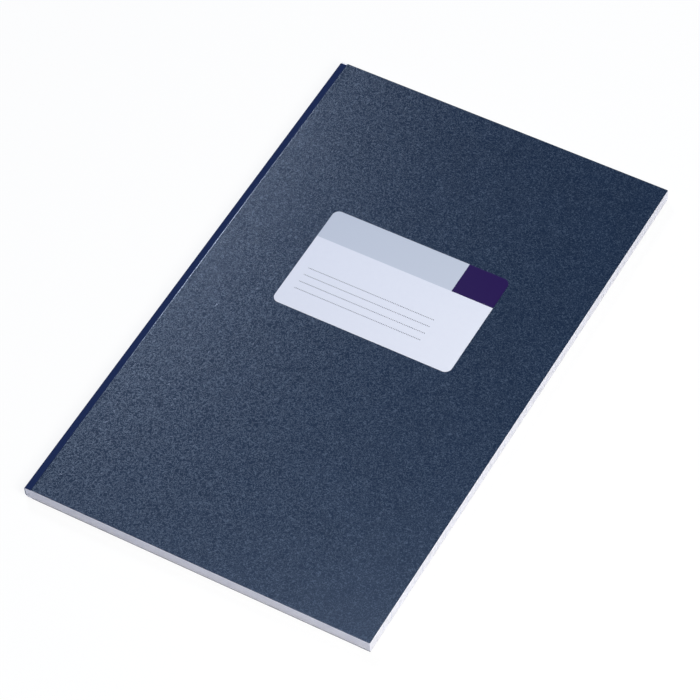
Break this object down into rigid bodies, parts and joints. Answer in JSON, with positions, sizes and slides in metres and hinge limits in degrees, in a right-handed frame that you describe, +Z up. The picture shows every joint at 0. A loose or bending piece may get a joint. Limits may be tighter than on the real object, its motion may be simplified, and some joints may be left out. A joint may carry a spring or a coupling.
{
  "type": "lined notebook",
  "caption": "Thin flush-cut folio notebook: sewn sections of ruled paper between leather-grain covers, with a cloth-taped spine and a title label; cover and middle open.",
  "frame": {"origin": "on the table under the middle of the shut book", "axes": "+X from the spine to the fore-edge, +Y along the spine from tail to head, +Z up out of the front cover"},
  "size_m": [0.203, 0.33, 0.0077],
  "materials": {
    "page_paper": "uncoated white writing paper, ruled in pale blue",
    "endpaper": "uncoated white endpaper",
    "board": "white pasteboard with a raw cut edge",
    "cover_paper": "dark slate-blue paper embossed with a fine leather grain, low sheen",
    "spine_cloth": "dark navy book cloth, plain weave",
    "thread": "undyed sewing thread",
    "label_paper": "smooth white label paper with a pale band, a dark block and dotted writing lines"
  },
  "bodies": {
    "back_cover": {"back_board": "board", "back_cover_paper": "cover_paper", "back_pastedown": "endpaper", "tape_flap_back": "spine_cloth"},
    "section_6": {"section_6_sheet_1": "page_paper", "section_6_sheet_2": "page_paper", "section_6_sheet_3": "page_paper", "section_6_sheet_4": "page_paper", "section_6_thread": "thread", "spine_tape_6": "spine_cloth", "back_flyleaf": "endpaper"},
    "section_5": {"section_5_sheet_1": "page_paper", "section_5_sheet_2": "page_paper", "section_5_sheet_3": "page_paper", "section_5_sheet_4": "page_paper", "section_5_thread": "thread", "spine_tape_5": "spine_cloth"},
    "section_4": {"section_4_sheet_1": "page_paper", "section_4_sheet_2": "page_paper", "section_4_sheet_3": "page_paper", "section_4_sheet_4": "page_paper", "section_4_thread": "thread", "spine_tape_4": "spine_cloth"},
    "section_3": {"section_3_sheet_1": "page_paper", "section_3_sheet_2": "page_paper", "section_3_sheet_3": "page_paper", "section_3_sheet_4": "page_paper", "section_3_thread": "thread", "spine_tape_3": "spine_cloth"},
    "section_2": {"section_2_sheet_1": "page_paper", "section_2_sheet_2": "page_paper", "section_2_sheet_3": "page_paper", "section_2_sheet_4": "page_paper", "section_2_thread": "thread", "spine_tape_2": "spine_cloth"},
    "section_1": {"section_1_sheet_1": "page_paper", "section_1_sheet_2": "page_paper", "section_1_sheet_3": "page_paper", "section_1_sheet_4": "page_paper", "section_1_thread": "thread", "spine_tape_1": "spine_cloth", "front_flyleaf": "endpaper"},
    "front_cover": {"front_board": "board", "front_cover_paper": "cover_paper", "front_pastedown": "endpaper", "tape_flap_front": "spine_cloth", "label": "label_paper"}
  },
  "joints": [
    {"name": "section_6_lift", "type": "hinge", "parent": "back_cover", "child": "section_6", "pos_m": [-0.09925, 0, -0.00021], "axis": [0, 1, 0], "range_deg": [-0.8, 0]},
    {"name": "section_5_lift", "type": "hinge", "parent": "section_6", "child": "section_5", "pos_m": [-0.1015, 0, 0.0018], "axis": [0, 1, 0], "range_deg": [-1.1, 0]},
    {"name": "section_4_lift", "type": "hinge", "parent": "section_5", "child": "section_4", "pos_m": [-0.1015, 0, 0.0028], "axis": [0, 1, 0], "range_deg": [-1.4, 0]},
    {"name": "centre_opening", "type": "hinge", "parent": "section_4", "child": "section_3", "pos_m": [-0.1015, 0, 0.00388], "axis": [0, 1, 0], "range_deg": [-174.2, 0]},
    {"name": "section_2_spread", "type": "hinge", "parent": "section_3", "child": "section_2", "pos_m": [-0.1015, 0, 0.00477], "axis": [0, 1, 0], "range_deg": [-1.4, 0]},
    {"name": "section_1_spread", "type": "hinge", "parent": "section_2", "child": "section_1", "pos_m": [-0.1015, 0, 0.00577], "axis": [0, 1, 0], "range_deg": [-1.1, 0]},
    {"name": "front_cover_hinge", "type": "hinge", "parent": "section_1", "child": "front_cover", "pos_m": [-0.10085, 0, 0.00778], "axis": [0, -1, 0], "range_deg": [0, 180]}
  ],
  "couplings": [
    {"joint": "section_6_lift", "follows": "centre_opening", "ratio": 0.004592},
    {"joint": "section_5_lift", "follows": "centre_opening", "ratio": 0.006314},
    {"joint": "section_4_lift", "follows": "centre_opening", "ratio": 0.008036},
    {"joint": "section_2_spread", "follows": "centre_opening", "ratio": 0.008036},
    {"joint": "section_1_spread", "follows": "centre_opening", "ratio": 0.006314}
  ]
}
